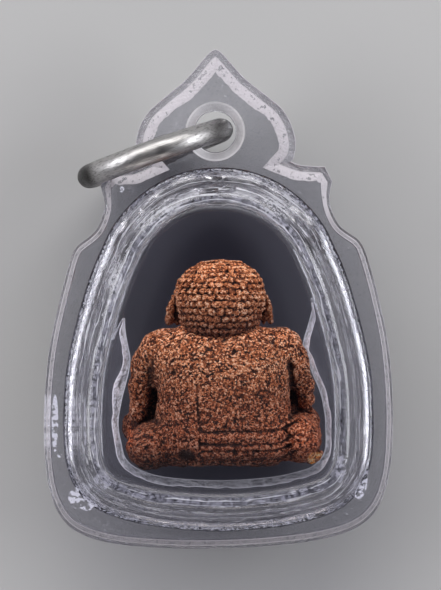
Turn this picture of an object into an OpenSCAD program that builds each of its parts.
// Amulet pendant: a seated powder figure in a clear two-part acrylic case, with a steel hanging ring.
// It lies on its front window. X runs across the case, Y up its length to the finial, Z up through it.

/* [Case] */
// Width of the case across its sides
case_w = 32.1; // [30:0.1:38]
// Drop of the side cusps below the bubble's top
cusp_drop = 0.97; // [0.7:0.01:1.2]
// Rise of the hand-cut outline for each mm to the right
edge_lean = 0.022; // [0:0.002:0.04]
// Sideways place of the hand-cut finial and its hole
finial_x = -0.3; // [-0.6:0.1:0.3]
// Thickness of the rim, both halves together
rim_t = 4.4; // [3:0.1:5]
// Width of the bevel along the body's edge
bevel_w = 0.85; // [0.5:0.05:1.1]
// Width of the bevel along the finial's edge
finial_bevel_w = 1.3; // [0.8:0.05:1.5]
// Depth of both bevels
bevel_d = 0.9; // [0.4:0.05:1.3]
// Gap that the glue fills between the two halves
glue_t = 0.04; // [0.02:0.01:0.1]

/* [Bubble] */
// Width of each bubble at its foot
bubble_w = 27.5; // [25:0.1:28]
// Length of each bubble at its foot
bubble_l = 32.5; // [30:0.1:33.5]
// Width of rim below the bubble
rim_under = 2.1; // [1.6:0.1:3]
// Thickness of the bubble's wall at its foot
wall_t = 1.5; // [1.2:0.1:1.8]
// Thickness of the flat window
window_t = 1.6; // [1:0.1:1.8]
// Lean of the bubble's wall, measured inwards over its height
draft = 1.2; // [0.6:0.1:1.6]
// Radius round the window's outer edge
edge_r = 1.6; // [1:0.1:2]
// Radius round the cavity's ceiling
cavity_r = 0.9; // [0.5:0.1:1.2]

/* [Hole and ring] */
// Bore of the hanging hole
hole_d = 3.8; // [3.6:0.1:4.4]
// Width and depth of the hole's countersink on each face
sink = 0.75; // [0.3:0.05:0.9]
// Height of the hole's middle above the bubble
hole_rise = 3.8; // [3.7:0.1:4.4]
// Height of the finial's tip above the hole's middle
tip_rise = 7.6; // [7.4:0.1:8.6]
// Diameter of the ring's wire
wire_d = 2.2; // [1.8:0.1:2.4]
// Gap between the ring and the cusp that it goes round
ring_gap = 0.17; // [0.1:0.01:0.4]
// Slack between the wire and the far wall of its hole
ring_slack = 0.2; // [0.1:0.05:0.4]
// Direction in which the ring hangs, seen from above
ring_turn = 199.4; // [197:0.2:200]

/* [Figure and cradle] */
// Width of the figure across its knees
figure_w = 18.65; // [17:0.1:19]
// Height of the figure from its seat to its crown
figure_h = 19.2; // [18:0.1:20]
// Depth of the figure from its back to its folded legs
figure_d = 12.4; // [11:0.1:12.8]
// Place of the figure's seat above the bubble's foot line
figure_up = 5.45; // [5:0.05:6]
// Sideways place of the figure
figure_x = 0.2; // [-0.3:0.1:0.3]
// Gap between the figure and what holds it
figure_gap = 0.15; // [0.1:0.05:0.3]
// Room between the figure's depth and the back window
back_gap = 0.65; // [0.3:0.05:1.5]
// Thickness of the cradle round the figure
cradle_t = 8; // [6:0.2:9]
// Gap between the cradle and the bubble's walls
cradle_gap = 0.12; // [0.05:0.01:0.3]

/* [Hidden] */

rim_half = (rim_t - glue_t) / 2;
// The bubbles are as deep as the figure needs. Each window lies bubble_h over the middle of the rim.
cavity_h = (figure_gap + figure_d + back_gap) / 2;
bubble_h = cavity_h + window_t;
mid_z = bubble_h;
case_l = rim_under + bubble_l + hole_rise + tip_rise;
// The crown is the finial and the two cusps beside it. The body is what lies below the cusps.
body_l = rim_under + bubble_l - cusp_drop;
crown_l = case_l - body_l;
bottom_y = -case_l / 2;
bubble_y = bottom_y + rim_under;
hub = [0, bubble_y + 0.5 * bubble_l];
hole_at = [finial_x, bubble_y + bubble_l + hole_rise];
ring_offset = hole_d / 2 - wire_d / 2 - ring_slack;

// Right half of the case's outline, in runs that meet at sharp corners.
// Each row is across, as a share of half the width, and up, as a share of the crown or of the body.
finial_run = [[0, 1], [0.045, 0.963], [0.092, 0.892], [0.175, 0.773], [0.302, 0.639],
              [0.388, 0.539], [0.440, 0.416], [0.460, 0.290], [0.447, 0.182], [0.431, 0.151]];
notch_run = [[0.431, 0.151], [0.490, 0.123], [0.624, 0.108]];
cusp_run = [[0.624, 0.108], [0.664, 0]];
waist_run = [[0.664, 1], [0.646, 0.944], [0.695, 0.882], [0.800, 0.841], [0.833, 0.821]];
side_run = [[0.833, 0.821], [0.862, 0.780], [0.922, 0.670], [0.974, 0.547], [0.999, 0.410],
            [0.999, 0.280], [0.973, 0.178], [0.905, 0.096], [0.780, 0.0465], [0.575, 0.018],
            [0.287, 0.004], [0, 0]];
// Right half of the bubble's foot line, from its top to its bottom, in shares of its own sizes.
bubble_run = [[0, 1], [0.208, 0.990], [0.403, 0.955], [0.564, 0.901], [0.678, 0.841],
              [0.752, 0.778], [0.819, 0.710], [0.879, 0.631], [0.940, 0.534], [0.983, 0.440],
              [1, 0.341], [1, 0.241], [0.977, 0.168], [0.913, 0.108], [0.799, 0.0625],
              [0.624, 0.033], [0.369, 0.011], [0, 0]];
// Right half of the cradle's pocket, in shares of the figure's half width and height.
pocket_run = [[0, -0.078], [0.376, -0.076], [0.713, -0.054], [0.895, -0.003], [1.010, 0.077],
              [1.050, 0.197], [1.015, 0.327], [0.915, 0.460], [0.866, 0.558], [0.885, 0.678],
              [0.950, 0.798], [1.090, 0.900], [1.500, 1.020]];

// Smooth curve through four points, between the second and the third.
function between(a, b, c, d, t) =
    0.5 * (2 * b + t * (c - a) + t * t * (2 * a - 5 * b + 4 * c - d)
           + t * t * t * (3 * b - a - 3 * c + d));
function flipped(p) = [-p.x, p.y];
// Smooth run through its rows, without the last one. A row on the middle line meets its mirror image.
function run(rows, steps) = [
    for (i = [0 : len(rows) - 2], k = [0 : steps - 1])
        let (a = i > 0 ? rows[i - 1]
                 : rows[0].x == 0 ? flipped(rows[1]) : 2 * rows[0] - rows[1],
             d = i < len(rows) - 2 ? rows[i + 2]
                 : rows[i + 1].x == 0 ? flipped(rows[i]) : 2 * rows[i + 1] - rows[i])
        between(a, rows[i], rows[i + 1], d, k / steps)];
function sized(rows, half, long) = [for (p = rows) [p.x * half, p.y * long]];
// The right half mirrored to the left: a closed outline that turns anticlockwise, seen from above.
function closed(right) = [
    for (p = right) if (p.x > 0.001) flipped(p),
    for (i = [len(right) - 1 : -1 : 0]) right[i]];
// The same outline moved inwards by w, which is one width or one for each point.
function inset(p, w) = [
    for (i = [0 : len(p) - 1])
        let (n = len(p), a = p[i] - p[(i + n - 1) % n], b = p[(i + 1) % n] - p[i],
             u = [-a.y, a.x] / norm(a), v = [-b.y, b.x] / norm(b))
        p[i] + (is_list(w) ? w[i] : w) * (u + v) / (1 + u * v)];
function heading(p) = let (d = p - hub, a = atan2(d.y, d.x)) a < -90 ? a + 360 : a;
// Distance from the hub to an outline in each direction, for use with lookup.
function reach(p) = let (
    rows = [for (q = p) [heading(q), norm(q - hub)]],
    low = min([for (r = rows) r[0]]),
    first = [for (i = [0 : len(rows) - 1]) if (rows[i][0] == low) i][0],
    n = len(rows),
    turned = [for (i = [0 : n - 1]) rows[(first + i) % n]])
    concat([[turned[n - 1][0] - 360, turned[n - 1][1]]], turned, [[turned[0][0] + 360, turned[0][1]]]);
// A convex outline, sampled in the directions of another outline's points.
function toward(outline, p) = let (far = reach(outline))
    [for (q = p) let (a = heading(q)) hub + lookup(a, far) * [cos(a), sin(a)]];
function lifted(p, z) = [for (q = p) [q.x, q.y, z]];

// Skin of a closed body: rings of equal length, capped at both ends from a middle point.
module skin(rings, start, end) {
    n = len(rings[0]);
    m = len(rings);
    points = concat([for (r = rings) each r], [start, end]);
    walls = [for (j = [0 : m - 2], i = [0 : n - 1])
        each let (a = j * n + i, b = j * n + (i + 1) % n)
            [[a, a + n, b], [b, a + n, b + n]]];
    caps = [for (i = [0 : n - 1])
        each [[m * n, i, (i + 1) % n], [m * n + 1, (m - 1) * n + (i + 1) % n, (m - 1) * n + i]]];
    polyhedron(points, concat(walls, caps));
}

// Outline of the rim, its bevel and the bubble's foot line
crown = [for (p = sized(concat(run(finial_run, 2), run(notch_run, 1), run(cusp_run, 1)), case_w / 2, crown_l))
    [p.x, body_l + p.y]];
sides = sized(concat(run(waist_run, 2), run(side_run, 2), [[0, 0]]), case_w / 2, body_l);
function up_crown(y) = (y - body_l) / crown_l;
rim = [for (p = closed(concat(crown, sides)))
    [p.x + finial_x * lookup(up_crown(p.y), [[-0.67, 0], [0.44, 1]]), bottom_y + p.y + edge_lean * p.x]];
rim_bevel = [for (p = rim)
    lookup(up_crown(p.y - bottom_y), [[-0.12, bevel_w], [0.18, finial_bevel_w]])];
beveled = inset(rim, rim_bevel);
// Round the tip, the bevel's inner line runs straight up to a point.
tip_count = 5;
bevel_point = [finial_x, case_l / 2 - 1.55 * finial_bevel_w];
rim_top = [for (i = [0 : len(rim) - 1])
    let (n = len(rim), k = min(i + 1, n - 1 - i), first = i < n / 2 ? tip_count - 1 : n - 1 - tip_count,
         part = (rim[i].x - finial_x) / (rim[first].x - finial_x))
    k < tip_count ? bevel_point + part * (beveled[first] - bevel_point) : beveled[i]];
foot = [for (p = closed(concat(sized(run(bubble_run, 3), bubble_w / 2, bubble_l), [[0, 0]])))
    [p.x, bubble_y + p.y]];

module case_half() {
    wall_top = bubble_h - edge_r;
    corner = edge_r * (1 - cos(45));
    window_edge = draft + edge_r;
    ceiling = wall_t + draft + cavity_r;
    cavity_corner = cavity_r * (1 - cos(45));
    rings = [
        lifted(toward(inset(foot, ceiling), rim), cavity_h),
        lifted(toward(inset(foot, ceiling - cavity_r + cavity_corner), rim), cavity_h - cavity_corner),
        lifted(toward(inset(foot, ceiling - cavity_r), rim), cavity_h - cavity_r),
        lifted(toward(inset(foot, wall_t), rim), glue_t / 2),
        lifted(rim, glue_t / 2),
        lifted(rim, glue_t / 2 + rim_half - bevel_d),
        lifted(rim_top, glue_t / 2 + rim_half),
        lifted(toward(foot, rim_top), glue_t / 2 + rim_half),
        lifted(toward(inset(foot, draft), rim_top), wall_top),
        lifted(toward(inset(foot, draft + corner), rim_top), bubble_h - corner),
        lifted(toward(inset(foot, window_edge), rim_top), bubble_h)];
    difference() {
        skin(rings, [hub.x, hub.y, cavity_h], [hub.x, hub.y, bubble_h]);
        translate([hole_at.x, hole_at.y, -1]) cylinder(d = hole_d, h = rim_t + 2, $fn = 64);
        translate([hole_at.x, hole_at.y, rim_t / 2 - sink])
            cylinder(d1 = hole_d, d2 = hole_d + 4 * sink, h = 2 * sink, $fn = 64);
    }
}

module case_back() {
    color([0.80, 0.84, 0.88, 0.45]) translate([0, 0, mid_z]) case_half();
}

module case_front() {
    color([0.74, 0.79, 0.84, 0.45]) translate([0, 0, mid_z]) mirror([0, 0, 1]) case_half();
}

// Cradle: a clear plate in the cavity, with a pocket cut to the figure and open over its head
module cradle() {
    edge = inset(foot, wall_t + draft * (cradle_t / 2) / (cavity_h - cavity_r) + cradle_gap);
    pocket = [for (p = run(pocket_run, 3))
        [figure_x + p.x * figure_w / 2 + (p.x > 0 ? figure_gap : 0),
         bubble_y + figure_up + p.y * figure_h]];
    open_top = bubble_y + bubble_l;
    last = pocket[len(pocket) - 1];
    right = concat(pocket, [[last.x, open_top]]);
    left = [for (i = [len(right) - 1 : -1 : 1]) [2 * figure_x - right[i].x, right[i].y]];
    color([0.62, 0.66, 0.70, 0.6]) translate([0, 0, mid_z - cradle_t / 2])
        linear_extrude(cradle_t) difference() {
            polygon(edge);
            polygon(concat(right, left));
        }
}

// Ring: plain steel wire, its plane upright, through the hole and round the left cusp
module ring() {
    out = [cos(ring_turn), sin(ring_turn)];
    side = [-out.y, out.x];
    keep = wire_d / 2 + ring_gap;
    corner_z = glue_t / 2 + rim_half - bevel_d;
    // Smallest mean radius that keeps the wire clear of each point along the rim's edge
    ring_r = max([for (i = [0 : len(rim) - 2], t = [0 : 0.2 : 0.8]) let (
        from_hole = (1 - t) * rim[i] + t * rim[i + 1] - hole_at,
        along = from_hole * out + ring_offset,
        across = from_hole * side,
        spare = keep * keep - across * across)
        if (along > 0 && spare > 0)
            (along * along + corner_z * corner_z - spare) / (2 * (along - sqrt(spare)))]);
    middle = hole_at + out * (ring_r - ring_offset);
    color([0.72, 0.72, 0.74]) translate([middle.x, middle.y, mid_z])
        rotate([90, 0, ring_turn]) rotate_extrude($fn = 96)
            translate([ring_r, 0]) circle(d = wire_d, $fn = 32);
}

// Places and radii on the figure are shares of its half width, its height and its half depth.
figure_size = [figure_w / 2, figure_h, figure_d / 2];
function on_figure(p) = [for (i = [0 : 2]) p[i] * figure_size[i]];

module blob(at, radii) {
    translate(on_figure(at)) scale(on_figure(radii)) sphere(1, $fn = 18);
}

// A limb tapers from one joint to the next. Its radii are shares of the figure's half width.
module limb(joints) {
    for (i = [0 : len(joints) - 2])
        hull() for (j = [joints[i], joints[i + 1]])
            translate(on_figure([j[0], j[1], j[2]])) sphere(j[3] * figure_size.x, $fn = 16);
}

module both_sides() {
    children();
    mirror([1, 0, 0]) children();
}

head_at = [0, 0.81, -0.06];
head_r = [0.435, 0.19, 0.64];
curl_columns = 30;
curl_rows = 10;
curl_h = 0.030;

// Sections of the body from the seat up. Columns: height, half width, reach to the back and to the front.
body_rows = [[0.00, 0.58, 0.56, 0.40], [0.025, 0.68, 0.74, 0.60], [0.09, 0.73, 0.84, 0.72],
             [0.16, 0.72, 0.84, 0.82], [0.23, 0.69, 0.86, 0.92], [0.32, 0.68, 0.91, 0.97],
             [0.41, 0.70, 0.93, 0.95], [0.49, 0.74, 0.88, 0.84], [0.56, 0.77, 0.76, 0.68],
             [0.61, 0.69, 0.62, 0.54], [0.65, 0.48, 0.48, 0.42], [0.68, 0.30, 0.40, 0.36]];
body_points = 40;
body_square = 0.84;

// Where a section's outline lies at an angle from the right, turning over the back
function section(row, a) =
    let (x = sign(cos(a)) * pow(abs(cos(a)), body_square), z = sign(sin(a)) * pow(abs(sin(a)), body_square))
    [x * row[1], row[0], z * (z > 0 ? row[2] : row[3])];

// Body: seat, back, belly and shoulders, lofted through the sections
module body() {
    rings = [for (row = body_rows) [for (i = [0 : body_points - 1])
        on_figure(section(row, -360 * i / body_points))]];
    last = body_rows[len(body_rows) - 1];
    skin(rings, [0, 0, 0], on_figure([0, last[0], 0]));
}

// Head: an egg whose hair stands up in rows of small curls, and whose face is bare
module head() {
    n = 2 * curl_columns;
    m = 2 * curl_rows;
    stand = [1, 0.5, 1.4] * curl_h;
    rings = [for (j = [1 : m - 1]) let (v = 180 * j / m)
        [for (i = [0 : n - 1]) let (
            u = 360 * i / n,
            way = [sin(v) * sin(u), -cos(v), sin(v) * cos(u)],
            hairy = way.y > -0.75 && (way.z > -0.35 || way.y > 0.62),
            curl = hairy && i % 2 == 0 && j % 2 == 0 ? 1 : 0)
            on_figure([for (k = [0 : 2]) head_at[k] + way[k] * (head_r[k] + curl * stand[k])])]];
    skin(rings, on_figure(head_at - [0, head_r.y, 0]), on_figure(head_at + [0, head_r.y, 0]));
}

// Face: plain and calm, with lowered lids
module face() {
    limb([[0, 0.838, -0.655, 0.022], [0, 0.790, -0.745, 0.045]]);
    blob([0, 0.789, -0.700], [0.085, 0.015, 0.050]);
    blob([0, 0.752, -0.660], [0.125, 0.011, 0.050]);
    blob([0, 0.738, -0.655], [0.105, 0.011, 0.050]);
    both_sides() {
        limb([[0.06, 0.850, -0.680, 0.022], [0.27, 0.853, -0.555, 0.018]]);
        blob([0.165, 0.815, -0.605], [0.095, 0.016, 0.070]);
    }
}

// Robe: a raised edge down the back, left of the spine, and rolled hems round the seat
module robe() {
    edge_x = -0.21;
    limb([for (k = [0 : 6]) let (y = 0.05 + 0.09 * k)
        [edge_x, y, section_back(y) - 0.020, 0.028]]);
    for (y = [0.035, 0.095, 0.150])
        limb([[edge_x, y, section_back(y) - 0.060, 0.060], [0.30, y + 0.006, section_back(y) - 0.090, 0.064],
              [0.62, y + 0.020, section_back(y) - 0.36, 0.060]]);
}
function section_back(y) = lookup(y, [for (row = body_rows) [row[0], row[2]]]);

module figure() {
    color([0.42, 0.24, 0.14])
        translate([figure_x, bubble_y + figure_up,
                   mid_z - cavity_h + figure_gap + figure_size.z]) {
            head();
            face();
            body();
            robe();
            both_sides() {
                blob([0.475, 0.760, -0.04], [0.085, 0.065, 0.17]);
                blob([0.480, 0.715, -0.06], [0.070, 0.060, 0.13]);
                limb([[0.60, 0.525, 0.10, 0.210], [0.775, 0.315, 0.06, 0.150],
                      [0.52, 0.265, -0.62, 0.120], [0.16, 0.300, -0.88, 0.095]]);
                limb([[0.46, 0.130, 0.34, 0.25], [0.745, 0.130, 0.00, 0.255],
                      [0.30, 0.095, -0.64, 0.180], [-0.10, 0.085, -0.80, 0.130]]);
            }
        }
}

case_back();
case_front();
cradle();
figure();
ring();
